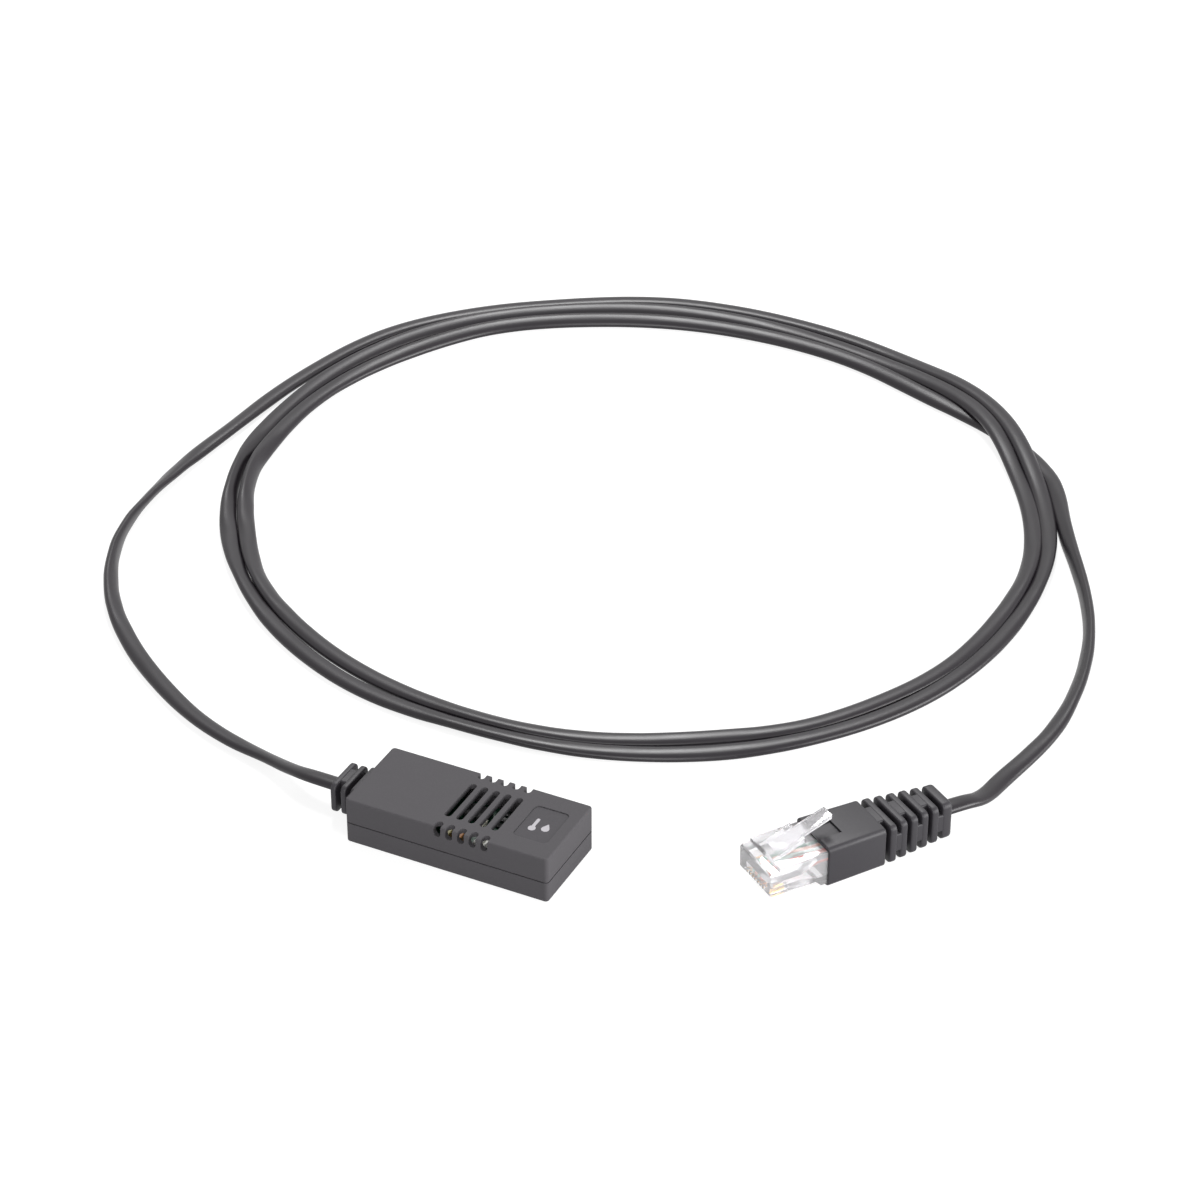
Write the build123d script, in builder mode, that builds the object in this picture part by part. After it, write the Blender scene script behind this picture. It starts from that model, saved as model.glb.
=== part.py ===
from build123d import *
import os
from math import cos, radians, sin, tan

# A rack temperature and humidity sensor: a small vented housing on a flat cord, which lies in a loose coil
# and ends in a clear eight-way modular plug with a ribbed boot. Millimetres, +Z up. The origin is the middle
# of the housing's underside, and +X runs along the housing, away from its cord.

# Housing
housing_length = 46.0
housing_width = 20.2
housing_height = 10.6
split_height = 4.65
wall = 1.2
corner_radius = 0.8
edge_radius = 0.4
lip_thickness = 0.5
lip_height = 0.9
fit = 0.1
parting_gap = 0.3
parting_depth = 0.3

# Five vents across the top, each with a notch in both long edges beside it
vent_count = 5
vent_pitch = 2.65
vent_width = 1.6
vent_to_notch = 2.1
vent_to_free_end = 14.2
notch_reach = 2.0
notch_drop = 2.5

# Label, in its recess between the vents and the free end
label_length = 7.6
label_width = 10.7
label_radius = 1.1
label_thickness = 0.15
label_recess = 0.35
label_to_free_end = 2.7

# Cord: flat, with its width along the floor
cord_width = 4.0
cord_thickness = 2.1
bend_share = 0.45

# Strain relief on the housing: a boss, two rings and the gaps between them, and a neck through the end wall
relief_height = 4.95
relief_boss = 1.9
relief_ring = 1.3
relief_gap = 1.05
relief_boss_width = 10.0
relief_boss_tall = 7.4
relief_ring_width = 9.6
relief_ring_tall = 7.0
relief_corner = 1.3
relief_edge = 0.3
relief_side_skin = 0.25
relief_flat_skin = 0.4
neck_skin = 1.1
flange_thickness = 1.0
flange_border = 0.8
jacket_stub = 0.5

# Circuit board, by the room round it in the housing
board_cord_room = 8.0
board_free_room = 3.0
board_side_room = 1.9
board_thickness = 1.0
board_bottom = 3.4
board_corner = 0.6
peg_diameter = 1.4
peg_rise = 0.5
standoff_diameter = 2.6
standoff_inset = 2.0
post_diameter = 3.0
solder_gap = 0.05

# The four wires of the cord
wire_names = ["green", "orange", "pale_green", "red_orange"]
wire_diameter = 0.9
wire_pitch = 1.02

# Coil: a slightly oval ring of two lanes of cord, with a third lane outside over its far side
coil_x = -25.4
coil_y = 127.7
coil_mean_radius = 93.0
coil_ovality = 2.45
coil_oval_angle = -24.9
coil_step = 15
outer_lane = 7.0
lane_in_angle = 176.0
lane_out_angle = 30.0
crossing_from = 40.0
crossing_to = 68.0
crossing_inset = 0.3

# Plug, along its own axis from its front face. Its angle is turned from +X
plug_x = 58.0
plug_y = 12.0
plug_angle = 55.0
plug_width = 11.68
plug_length = 21.5
plug_top = 8.5
plug_front_bottom = 2.1
plug_step = 12.0
nose_length = 2.3
nose_top = 7.7
nose_chamfer = 0.4
latch_width = 6.0
latch_tip_width = 3.2
latch_shoulder = 9.6
latch_reach = 16.7
latch_rise = 13.4
latch_thickness = 0.95
contact_count = 8
contact_thickness = 0.35
contact_length = 3.6
contact_start = 0.6
contact_recess = 0.15
contact_slot_width = 0.6
contact_slot_length = 4.8
wire_height = 3.9
wire_room = 0.1
wire_start = 1.5
jacket_start = 16.0
funnel_front = 8.0
funnel_rear = 11.5
funnel_run = 1.0
mouth_side_room = 2.2
mouth_flat_room = 1.05

# Boot on the plug
boot_start = 13.4
boot_plain = 13.7
boot_side_wall = 0.46
boot_top_wall = 0.95
boot_floor = 0.75
boot_narrowing = 0.7
boot_lowering = 0.2
boot_corner = 0.9
boot_cut_width = 4.7
boot_cut_length = 5.3
boot_cut_depth = 0.6
rib_count = 6
rib_pitch = 2.7
rib_thickness = 1.6
rib_inset = 0.3
rib_last_width = 8.4
rib_last_tall = 8.8
rib_corner = 1.5
rib_edge = 0.35
web_inset = 0.3
end_cap = 0.9
end_round = 0.8
boot_side_skin = 0.3
boot_flat_skin = 0.9

os.makedirs("parts", exist_ok=True)

# Sizes that follow from those above
half_length = housing_length / 2
half_width = housing_width / 2
cavity_length = housing_length - 2 * wall
cavity_width = housing_width - 2 * wall
cavity_radius = corner_radius / 2
ceiling = housing_height - wall
vent_length = housing_width - 2 * (notch_reach + vent_to_notch)
vent_places = [half_length - vent_to_free_end - i * vent_pitch for i in range(vent_count)]
label_x = half_length - label_to_free_end - label_length / 2
bore_width = cord_width + 2 * fit
bore_tall = cord_thickness + 2 * fit
neck_width = bore_width + 2 * neck_skin
neck_tall = bore_tall + 2 * neck_skin
board_length = housing_length - board_cord_room - board_free_room
board_width = housing_width - 2 * board_side_room
board_middle = (board_cord_room - board_free_room) / 2
board_top = board_bottom + board_thickness
standoff_places = [
    (board_middle + x * (board_length / 2 - standoff_inset), y * (board_width / 2 - standoff_inset))
    for x in (-1, 1)
    for y in (-1, 1)
]
wire_lanes = [(i - (len(wire_names) - 1) / 2) * wire_pitch for i in range(len(wire_names))]
plug_rear_bottom = boot_floor + fit / 2
mouth_width = cord_width + 2 * mouth_side_room
mouth_tall = cord_thickness + 2 * mouth_flat_room
boot_width = plug_width + fit + 2 * boot_side_wall
boot_tall = plug_top + fit / 2 + boot_top_wall
boot_rear_width = boot_width - boot_narrowing
boot_rear_tall = boot_tall - boot_lowering
end_wall = Plane(origin=(-half_length, 0, relief_height), x_dir=(0, -1, 0), z_dir=(-1, 0, 0))


def housing_outline(height, grow=0.0):
    """The cavity's outline at a height, grown outwards."""
    with BuildSketch(Plane.XY.offset(height)) as outline:
        RectangleRounded(cavity_length + 2 * grow, cavity_width + 2 * grow, cavity_radius + grow)
    return outline.sketch


def parting_groove():
    """The shadow groove round the housing, just above the joint between its shells."""
    with BuildPart() as groove:
        with BuildSketch(Plane.XY.offset(split_height)):
            Rectangle(housing_length, housing_width)
            RectangleRounded(
                housing_length - 2 * parting_depth,
                housing_width - 2 * parting_depth,
                corner_radius - parting_depth,
                mode=Mode.SUBTRACT,
            )
        extrude(amount=parting_gap)
    return groove.part


def opening_for_neck():
    """The hole that the neck of the strain relief takes in the end wall."""
    with BuildPart() as opening:
        with BuildSketch(end_wall.offset(-wall - fit)):
            Rectangle(neck_width, neck_tall)
        extrude(amount=wall + 2 * fit)
    return opening.part


def rounded_slab(plane, width, tall, corner, thickness, edge):
    """A slab with round corners and broken edges, which rises from a plane through its middle."""
    with BuildPart() as slab:
        with BuildSketch(plane):
            RectangleRounded(width, tall, corner)
        extrude(amount=thickness)
        ends = slab.faces().filter_by(plane)
        chamfer(ends.edges(), edge)
    return slab.part


def plain_slab(plane, width, tall, thickness):
    """A slab with sharp edges, which rises from a plane through its middle."""
    with BuildPart() as slab:
        with BuildSketch(plane):
            Rectangle(width, tall)
        extrude(amount=thickness)
    return slab.part


# Lower shell: a tray with a lip, standoffs for the board and their pegs
with BuildPart() as lower_shell:
    with BuildSketch():
        RectangleRounded(housing_length, housing_width, corner_radius)
    extrude(amount=split_height)
    fillet(lower_shell.faces().sort_by(Axis.Z)[0].edges(), edge_radius)
    add(housing_outline(split_height, lip_thickness))
    extrude(amount=lip_height)
    add(housing_outline(wall))
    extrude(amount=split_height + lip_height - wall, mode=Mode.SUBTRACT)
    with BuildSketch(Plane.XY.offset(wall)):
        with Locations(*standoff_places):
            Circle(standoff_diameter / 2)
    extrude(amount=board_bottom - wall)
    with BuildSketch(Plane.XY.offset(board_bottom)):
        with Locations(*standoff_places):
            Circle(peg_diameter / 2)
    extrude(amount=board_thickness + peg_rise)
    add(opening_for_neck(), mode=Mode.SUBTRACT)
lower_shell.part.label = "lower_shell"
export_step(lower_shell.part, "parts/lower_shell.step")

# Upper shell: a cover with vents, edge notches, the label's recess and four posts that hold the board down
# and take the pegs' ends
with BuildPart() as upper_shell:
    with BuildSketch(Plane.XY.offset(split_height)):
        RectangleRounded(housing_length, housing_width, corner_radius)
    extrude(amount=housing_height - split_height)
    fillet(upper_shell.faces().sort_by(Axis.Z)[-1].edges(), edge_radius)
    add(housing_outline(split_height))
    extrude(amount=ceiling - split_height, mode=Mode.SUBTRACT)
    add(housing_outline(split_height, lip_thickness + fit))
    extrude(amount=lip_height + fit, mode=Mode.SUBTRACT)
    add(parting_groove(), mode=Mode.SUBTRACT)
    with BuildSketch(Plane.XY.offset(board_top)):
        with Locations(*standoff_places):
            Circle(post_diameter / 2)
    extrude(amount=ceiling - board_top)
    with BuildSketch(Plane.XY.offset(board_top)):
        with Locations(*standoff_places):
            Circle(peg_diameter / 2 + fit)
    extrude(amount=peg_rise + fit, mode=Mode.SUBTRACT)
    with BuildSketch(Plane.XY.offset(ceiling)):
        with Locations(*[(x, 0) for x in vent_places]):
            SlotOverall(vent_length, vent_width, rotation=90)
        with Locations(*[(x, side * half_width) for x in vent_places for side in (-1, 1)]):
            SlotOverall(2 * notch_reach, vent_width, rotation=90)
    extrude(amount=wall, mode=Mode.SUBTRACT)
    for wall_face in (-half_width, half_width - wall):
        with BuildSketch(Plane.XZ.offset(wall_face)):
            with Locations(*[(x, housing_height) for x in vent_places]):
                SlotOverall(2 * notch_drop, vent_width, rotation=90)
        extrude(amount=wall, mode=Mode.SUBTRACT)
    with BuildSketch(Plane.XY.offset(housing_height - label_recess)):
        with Locations((label_x, 0)):
            RectangleRounded(label_length + 2 * fit, label_width + 2 * fit, label_radius + fit)
    extrude(amount=label_recess, mode=Mode.SUBTRACT)
    add(opening_for_neck(), mode=Mode.SUBTRACT)
upper_shell.part.label = "upper_shell"
export_step(upper_shell.part, "parts/upper_shell.step")

# Label: a thin overlay in its recess
with BuildPart() as label:
    with BuildSketch(Plane.XY.offset(housing_height - label_recess)):
        with Locations((label_x, 0)):
            RectangleRounded(label_length, label_width, label_radius)
    extrude(amount=label_thickness)
label.part.label = "label"
export_step(label.part, "parts/label.step")

# Strain relief: the cross-slotted moulding on the cord. The gap beside the boss is cut from above and below,
# and the outer gap from both sides
first_ring = relief_boss + relief_gap
second_ring = first_ring + relief_ring + relief_gap
relief_length = second_ring + relief_ring
with BuildPart() as cord_grommet:
    add(rounded_slab(end_wall, relief_boss_width, relief_boss_tall, relief_corner, relief_boss, relief_edge))
    for start in (first_ring, second_ring):
        add(
            rounded_slab(
                end_wall.offset(start),
                relief_ring_width,
                relief_ring_tall,
                relief_corner,
                relief_ring,
                relief_edge,
            )
        )
    add(
        plain_slab(
            end_wall.offset(relief_boss - relief_edge),
            relief_ring_width - 2 * web_inset,
            bore_tall + 2 * relief_flat_skin,
            relief_gap + 2 * relief_edge,
        )
    )
    add(
        plain_slab(
            end_wall.offset(first_ring + relief_ring - relief_edge),
            bore_width + 2 * relief_side_skin,
            relief_ring_tall - 2 * web_inset,
            relief_gap + 2 * relief_edge,
        )
    )
    neck_end = end_wall.offset(-wall - fit)
    add(plain_slab(neck_end, neck_width - fit, neck_tall - fit, wall + fit + relief_edge))
    with BuildSketch(neck_end.offset(-flange_thickness)):
        RectangleRounded(neck_width + 2 * flange_border, neck_tall + 2 * flange_border, flange_border)
    extrude(amount=flange_thickness)
    with BuildSketch(end_wall.offset(relief_length)):
        SlotOverall(bore_width, bore_tall)
    extrude(amount=-relief_length - wall - fit - flange_thickness, mode=Mode.SUBTRACT)
cord_grommet.part.label = "cord_grommet"
export_step(cord_grommet.part, "parts/cord_grommet.step")
jacket_back = -half_length + wall + fit + flange_thickness + jacket_stub

# Circuit board, on the standoffs and round their pegs
with BuildPart() as circuit_board:
    with BuildSketch(Plane.XY.offset(board_bottom)):
        with Locations((board_middle, 0)):
            RectangleRounded(board_length, board_width, board_corner)
        with Locations(*standoff_places):
            Circle(peg_diameter / 2 + fit, mode=Mode.SUBTRACT)
    extrude(amount=board_thickness)
circuit_board.part.label = "circuit_board"
export_step(circuit_board.part, "parts/circuit_board.step")

# Humidity element: a white cap with air slots, under the vents beside the front notches
element_length = 5.4
element_width = 3.6
element_edge_room = 0.4
element_x = (vent_places[0] + vent_places[1]) / 2
element_y = element_width / 2 + element_edge_room - board_width / 2
element_tall = 2.9
element_corner = 0.4
element_edge = 0.25
element_slot = 0.5
element_slots = 4
element_slot_border = 0.6
with BuildPart() as humidity_element:
    with BuildSketch(Plane.XY.offset(board_top)):
        with Locations((element_x, element_y)):
            RectangleRounded(element_length, element_width, element_corner)
    extrude(amount=element_tall)
    fillet(humidity_element.faces().sort_by(Axis.Z)[-1].edges(), element_edge)
    with BuildSketch(Plane.XY.offset(board_top + element_tall - element_slot)):
        with Locations((element_x, element_y)):
            with GridLocations(2 * element_slot, 0, element_slots, 1):
                Rectangle(element_slot, element_width - 2 * element_slot_border)
    extrude(amount=element_slot, mode=Mode.SUBTRACT)
humidity_element.part.label = "humidity_element"
export_step(humidity_element.part, "parts/humidity_element.step")

# Thermistor: a bead held up under the middle vent on two leads
bead_radius = 1.0
bead_below_ceiling = 1.2
bead_x = vent_places[2]
bead_y = -0.5
bead_height = ceiling - bead_below_ceiling - bead_radius
lead_radius = 0.2
lead_spread = 1.3
with BuildPart() as thermistor:
    with BuildSketch(Plane.XY.offset(board_top)):
        with Locations((bead_x, bead_y)):
            with GridLocations(0, lead_spread, 1, 2):
                Circle(lead_radius)
    extrude(amount=bead_height - board_top)
    with Locations((bead_x, bead_y, bead_height)):
        Sphere(bead_radius)
thermistor.part.label = "thermistor"
export_step(thermistor.part, "parts/thermistor.step")

# Two moulded capacitors that show through the front notches
capacitor_length = 3.2
capacitor_width = 1.9
capacitor_row = capacitor_length / 2 + element_edge_room - board_width / 2
capacitor_foot = 0.3
tantalum_tall = 2.6
film_tall = 2.9
film_shift = 0.2
for name, x, tall in (
    ("tantalum_capacitor", vent_places[3], tantalum_tall),
    ("film_capacitor", vent_places[4] + film_shift, film_tall),
):
    with BuildPart() as capacitor:
        with BuildSketch(Plane.XY.offset(board_top)):
            with Locations((x, capacitor_row)):
                Rectangle(capacitor_width - 2 * capacitor_foot, capacitor_length)
        extrude(amount=capacitor_foot)
        with BuildSketch(Plane.XY.offset(board_top + capacitor_foot)):
            with Locations((x, capacitor_row)):
                RectangleRounded(capacitor_width, capacitor_length, capacitor_foot)
        extrude(amount=tall - capacitor_foot)
        fillet(capacitor.faces().sort_by(Axis.Z)[-1].edges(), capacitor_foot)
    capacitor.part.label = name
    export_step(capacitor.part, f"parts/{name}.step")

# Controller chip with its eight legs
chip_length = 4.9
chip_width = 3.9
chip_edge_room = 1.25
chip_tall = 1.5
chip_standoff = 0.15
chip_edge = 0.25
chip_shift = 0.85
leg_count = 4
leg_pitch = 1.27
leg_reach = 1.0
leg_width = 0.4
leg_thickness = 0.2
chip_x = vent_places[3] - chip_shift
chip_y = board_width / 2 - chip_edge_room - leg_reach - chip_width / 2
with BuildPart() as controller_chip:
    with BuildSketch(Plane.XY.offset(board_top + chip_standoff)):
        with Locations((chip_x, chip_y)):
            Rectangle(chip_length, chip_width)
    extrude(amount=chip_tall)
    chamfer(controller_chip.faces().sort_by(Axis.Z)[-1].edges(), chip_edge)
    leg_middle = (chip_width + leg_reach) / 2
    with BuildSketch(Plane.XY.offset(board_top)):
        with Locations((chip_x, chip_y)):
            with GridLocations(leg_pitch, 2 * leg_middle, leg_count, 2):
                Rectangle(leg_width, leg_reach)
    extrude(amount=leg_thickness)
    with BuildSketch(Plane.XY.offset(board_top)):
        with Locations((chip_x, chip_y)):
            with GridLocations(leg_pitch, chip_width + leg_thickness, leg_count, 2):
                Rectangle(leg_width, leg_thickness)
    extrude(amount=chip_tall / 2)
controller_chip.part.label = "controller_chip"
export_step(controller_chip.part, "parts/controller_chip.step")

# Chip resistors and chip capacitors, each sort as one group of like pieces in columns beside the controller
small_length = 2.0
small_width = 1.2
resistor_tall = 0.5
chip_capacitor_tall = 1.1
small_pitch = 2.0
small_edge_room = 1.4
small_column_pitch = 3.2
small_rows = [board_width / 2 - small_edge_room - small_pitch * i for i in range(3)]
small_columns = [chip_x + chip_length / 2 + small_column_pitch * (i + 1) for i in range(3)]
resistor_places = [(small_columns[0], y) for y in small_rows] + [(small_columns[1], small_rows[0])]
chip_capacitor_places = [(small_columns[1], small_rows[2])]
chip_capacitor_places += [(small_columns[2], y) for y in small_rows[1:]]
for name, places, tall in (
    ("chip_resistors", resistor_places, resistor_tall),
    ("chip_capacitors", chip_capacitor_places, chip_capacitor_tall),
):
    with BuildPart() as group:
        with BuildSketch(Plane.XY.offset(board_top)):
            with Locations(*places):
                Rectangle(small_length, small_width)
        extrude(amount=tall)
    group.part.label = name
    export_step(group.part, f"parts/{name}.step")

# Solder joints, where the cord's wires end on the board
joint_edge_room = 3.0
joint_radius = 0.48
joint_tall = 1.1
joint_round = 0.29
joint_pitch = 1.6
joint_x = board_middle - board_length / 2 + joint_edge_room
joint_lanes = [lane * joint_pitch / wire_pitch for lane in wire_lanes]
with BuildPart() as solder_joints:
    with BuildSketch(Plane.XY.offset(board_top)):
        with Locations(*[(joint_x, y) for y in joint_lanes]):
            Circle(joint_radius)
    extrude(amount=joint_tall)
    fillet(solder_joints.faces().group_by(Axis.Z)[-1].edges(), joint_round)
solder_joints.part.label = "solder_joints"
export_step(solder_joints.part, "parts/solder_joints.step")

# The wires from the jacket's end to the solder joints
wire_rest = board_top + wire_diameter / 2 + solder_gap
wire_bend = 2.0
wire_run = 1.8
for name, lane, joint_y in zip(wire_names, wire_lanes, joint_lanes):
    wire_end = joint_x - joint_radius - solder_gap
    with BuildPart() as board_wire:
        with BuildLine() as wire_route:
            FilletPolyline(
                (jacket_back, lane, relief_height),
                (jacket_back + wire_run, lane, relief_height),
                (wire_end - wire_run, joint_y, wire_rest),
                (wire_end, joint_y, wire_rest),
                radius=wire_bend,
            )
        with BuildSketch(Plane(wire_route.line @ 0, z_dir=wire_route.line % 0)):
            Circle(wire_diameter / 2)
        sweep()
    board_wire.part.label = f"board_wire_{name}"
    export_step(board_wire.part, f"parts/board_wire_{name}.step")


# The coil: its line is an oval about the coil's middle, and a lane is a distance outside that line
def coil_point(angle, outside):
    """A point of the coil's plan, at an angle in degrees and a distance outside its middle line."""
    radius = coil_mean_radius + coil_ovality * cos(radians(2 * (angle - coil_oval_angle))) + outside
    return (coil_x + radius * cos(radians(angle)), coil_y + radius * sin(radians(angle)))


def coil_tangent(angle):
    """The way that the cord runs there, clockwise seen from above."""
    return (sin(radians(angle)), -cos(radians(angle)))


def coil_band(first_angle, last_angle, inner, outer):
    """A stretch of the coil's plan between two distances, with radial ends."""
    count = max(2, round((last_angle - first_angle) / coil_step))
    angles = [first_angle + (last_angle - first_angle) * i / count for i in range(count + 1)]
    with BuildSketch() as band:
        with BuildLine():
            Spline(*[coil_point(a, outer) for a in angles])
            Spline(*[coil_point(a, inner) for a in angles])
            Line(coil_point(angles[0], inner), coil_point(angles[0], outer))
            Line(coil_point(angles[-1], inner), coil_point(angles[-1], outer))
        make_face()
    return band.sketch


with BuildPart() as cord_coil:
    with BuildSketch():
        with BuildLine():
            Spline(*[coil_point(a, cord_width) for a in range(0, 360, coil_step)], periodic=True)
        make_face()
        with BuildLine():
            Spline(*[coil_point(a, -cord_width) for a in range(0, 360, coil_step)], periodic=True)
        make_face(mode=Mode.SUBTRACT)
        add(coil_band(lane_out_angle, lane_in_angle, 0, outer_lane + cord_width / 2))
    extrude(amount=cord_thickness)
    with BuildSketch(Plane.XY.offset(cord_thickness)):
        add(
            coil_band(
                crossing_from,
                crossing_to,
                -cord_width + crossing_inset,
                outer_lane + cord_width / 2 - crossing_inset,
            )
        )
    extrude(amount=cord_thickness)
cord_coil.part.label = "cord_coil"
export_step(cord_coil.part, "parts/cord_coil.step")

# The plug's own planes: its plan, with X along the plug from its front face, and its side, with Y up
plug_axis = (cos(radians(plug_angle)), sin(radians(plug_angle)), 0)
plug_across = (-sin(radians(plug_angle)), cos(radians(plug_angle)), 0)
plug_line = Axis((plug_x, plug_y, 0), plug_axis)
plug_plan = Plane(origin=(plug_x, plug_y, 0), x_dir=plug_axis, z_dir=(0, 0, 1))
plug_side = Plane(
    origin=(plug_x, plug_y, 0),
    x_dir=plug_axis,
    z_dir=(sin(radians(plug_angle)), -cos(radians(plug_angle)), 0),
)
ribs_start = boot_start + boot_plain
boot_end = ribs_start + rib_count * rib_pitch


def plug_point(along, across, height):
    """A point given along the plug, across it and above the floor."""
    return (
        plug_x + along * plug_axis[0] + across * plug_across[0],
        plug_y + along * plug_axis[1] + across * plug_across[1],
        height,
    )


def across_plug(along, height):
    """The plane across the plug at a distance from its front, which faces its cord, with Y up."""
    return Plane(origin=plug_point(along, 0, height), x_dir=plug_across, z_dir=plug_axis)


# Routes of the two stretches of cord that aren't coiled, from the coil into the housing's strain relief and
# from the coil into the boot
floor_height = cord_thickness / 2
lane_in = coil_point(lane_in_angle, outer_lane)
lane_out = coil_point(lane_out_angle, outer_lane)
lane_in_run = 14.0
lane_out_run = 15.0
boot_run = 6.0
boot_hold = 8.0
cord_exit_height = rib_last_tall / 2
tail_route = [
    (*lane_in, floor_height),
    (
        lane_in[0] - lane_in_run * coil_tangent(lane_in_angle)[0],
        lane_in[1] - lane_in_run * coil_tangent(lane_in_angle)[1],
        floor_height,
    ),
    (-129.4, 106.0, floor_height),
    (-130.3, 84.0, floor_height),
    (-125.3, 59.5, floor_height),
    (-111.0, 38.8, floor_height),
    (-92.0, 22.3, floor_height),
    (-72.0, 10.8, floor_height),
    (-50.5, 5.6, 1.4),
    (-36.0, 0, relief_height),
    (jacket_back, 0, relief_height),
]
plug_route = [
    (*lane_out, floor_height),
    (
        lane_out[0] + lane_out_run * coil_tangent(lane_out_angle)[0],
        lane_out[1] + lane_out_run * coil_tangent(lane_out_angle)[1],
        floor_height,
    ),
    (80.6, 141.6, floor_height),
    (88.9, 121.2, floor_height),
    (92.9, 101.0, floor_height),
    (92.9, 83.0, floor_height),
    (89.9, 66.5, 1.3),
    plug_point(boot_end + boot_run, 0, cord_exit_height),
    plug_point(boot_end - boot_hold, 0, cord_exit_height),
]


def route_radii(route):
    """Radii as large as the runs allow: a share of the shorter run, over the tangent of half the turn."""
    points = [Vector(*p) for p in route]
    radii = []
    for before, here, after in zip(points, points[1:], points[2:]):
        turn = (here - before).get_angle(after - here)
        shorter = min((here - before).length, (after - here).length)
        radii.append(bend_share * shorter / tan(radians(turn / 2)))
    return radii


for name, route in (("sensor_tail", tail_route), ("plug_tail", plug_route)):
    radii = route_radii(route)
    print(name, "radii", [round(r, 1) for r in radii])
    with BuildPart() as tail:
        with BuildLine() as line:
            FilletPolyline(*route, radius=radii)
        heading = line.line % 0
        with BuildSketch(Plane(line.line @ 0, x_dir=(-heading.Y, heading.X, 0), z_dir=heading)) as section:
            SlotOverall(cord_width, cord_thickness)
        sweep(path=line.wire())
    length = line.wire().length
    swept = section.sketch.area * length
    print(name, "length", round(length, 1), "volume share", round(tail.part.volume / swept, 4))
    tail.part.label = name
    export_step(tail.part, f"parts/{name}.step")

# The cord's end in the boot and the plug, from the tail to the end of the jacket
with BuildPart() as plug_cord_end:
    with BuildSketch(across_plug(jacket_start, cord_exit_height)):
        SlotOverall(cord_width, cord_thickness)
    extrude(amount=boot_end - boot_hold - jacket_start)
plug_cord_end.part.label = "plug_cord_end"
export_step(plug_cord_end.part, "parts/plug_cord_end.step")

# Clear plug: body, nose, latch and the cavity for the wires, in one moulding
slot_floor = wire_height - wire_diameter / 2 - wire_room
with BuildPart() as plug_body:
    with BuildSketch(plug_side):
        with BuildLine():
            Polyline(
                (0, plug_front_bottom + nose_chamfer),
                (0, nose_top - nose_chamfer),
                (nose_chamfer, nose_top),
                (nose_length, nose_top),
                (nose_length, plug_top),
                (plug_length, plug_top),
                (plug_length, plug_rear_bottom),
                (plug_step, plug_rear_bottom),
                (plug_step - plug_front_bottom + plug_rear_bottom, plug_front_bottom),
                (nose_chamfer, plug_front_bottom),
                close=True,
            )
        make_face()
    extrude(amount=plug_width / 2, both=True)
    for reach, width in ((latch_shoulder, latch_width), (latch_reach, latch_tip_width)):
        slope = (latch_rise - plug_top) / (latch_reach - nose_length)
        top_at_reach = plug_top + slope * (reach - nose_length)
        with BuildSketch(plug_side):
            with BuildLine():
                Polyline(
                    (nose_length, plug_top - latch_thickness / 2),
                    (nose_length, plug_top + latch_thickness / 2),
                    (reach, top_at_reach + latch_thickness / 2),
                    (reach, top_at_reach - latch_thickness / 2),
                    (nose_length + 2 * latch_thickness, plug_top),
                    (nose_length + 2 * latch_thickness, plug_top - latch_thickness / 2),
                    close=True,
                )
            make_face()
        extrude(amount=width / 2, both=True)
    with BuildSketch(across_plug(wire_start - wire_room, wire_height)):
        Rectangle(contact_count * wire_pitch, wire_diameter + 2 * wire_room)
    extrude(amount=funnel_front - wire_start + wire_room, mode=Mode.SUBTRACT)
    with BuildSketch(across_plug(funnel_front, wire_height)):
        Rectangle(contact_count * wire_pitch, wire_diameter + 2 * wire_room)
    with BuildSketch(across_plug(funnel_rear, cord_exit_height)):
        Rectangle(mouth_width, mouth_tall)
    loft(mode=Mode.SUBTRACT)
    with BuildSketch(across_plug(funnel_rear, cord_exit_height)):
        Rectangle(mouth_width, mouth_tall)
    extrude(amount=plug_length - funnel_rear, mode=Mode.SUBTRACT)
    with BuildSketch(plug_plan.offset(plug_front_bottom)):
        with Locations((contact_slot_length / 2, 0)):
            with GridLocations(0, wire_pitch, 1, contact_count):
                Rectangle(contact_slot_length, contact_slot_width)
    extrude(amount=slot_floor - plug_front_bottom, mode=Mode.SUBTRACT)
plug_body.part.label = "plug_body"
export_step(plug_body.part, "parts/plug_body.step")

# Gold-plated contacts, one blade in each slot
contact_tall = slot_floor - plug_front_bottom - contact_recess
contact_middle = (contact_start + contact_length / 2, plug_front_bottom + contact_recess + contact_tall / 2)
contact_radius = 0.4
for i in range(contact_count):
    lane = (i - (contact_count - 1) / 2) * wire_pitch
    blade = plug_side.offset(-lane)
    with BuildPart() as contact:
        with BuildSketch(blade):
            with Locations(contact_middle):
                RectangleRounded(contact_length, contact_tall, contact_radius)
        extrude(amount=contact_thickness / 2, both=True)
    contact.part.label = f"plug_contact_{i + 1}"
    export_step(contact.part, f"parts/plug_contact_{i + 1}.step")

# The wires in the plug, from the jacket's end to the ends of their channels
for name, lane in zip(wire_names, wire_lanes):
    with BuildPart() as plug_wire:
        with BuildLine() as wire_route:
            FilletPolyline(
                plug_point(jacket_start, -lane, cord_exit_height),
                plug_point(funnel_rear + funnel_run, -lane, cord_exit_height),
                plug_point(funnel_front, -lane, wire_height),
                plug_point(wire_start, -lane, wire_height),
                radius=wire_bend,
            )
        with BuildSketch(Plane(wire_route.line @ 0, z_dir=wire_route.line % 0)):
            Circle(wire_diameter / 2)
        sweep()
    plug_wire.part.label = f"plug_wire_{name}"
    export_step(plug_wire.part, f"parts/plug_wire_{name}.step")

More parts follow.
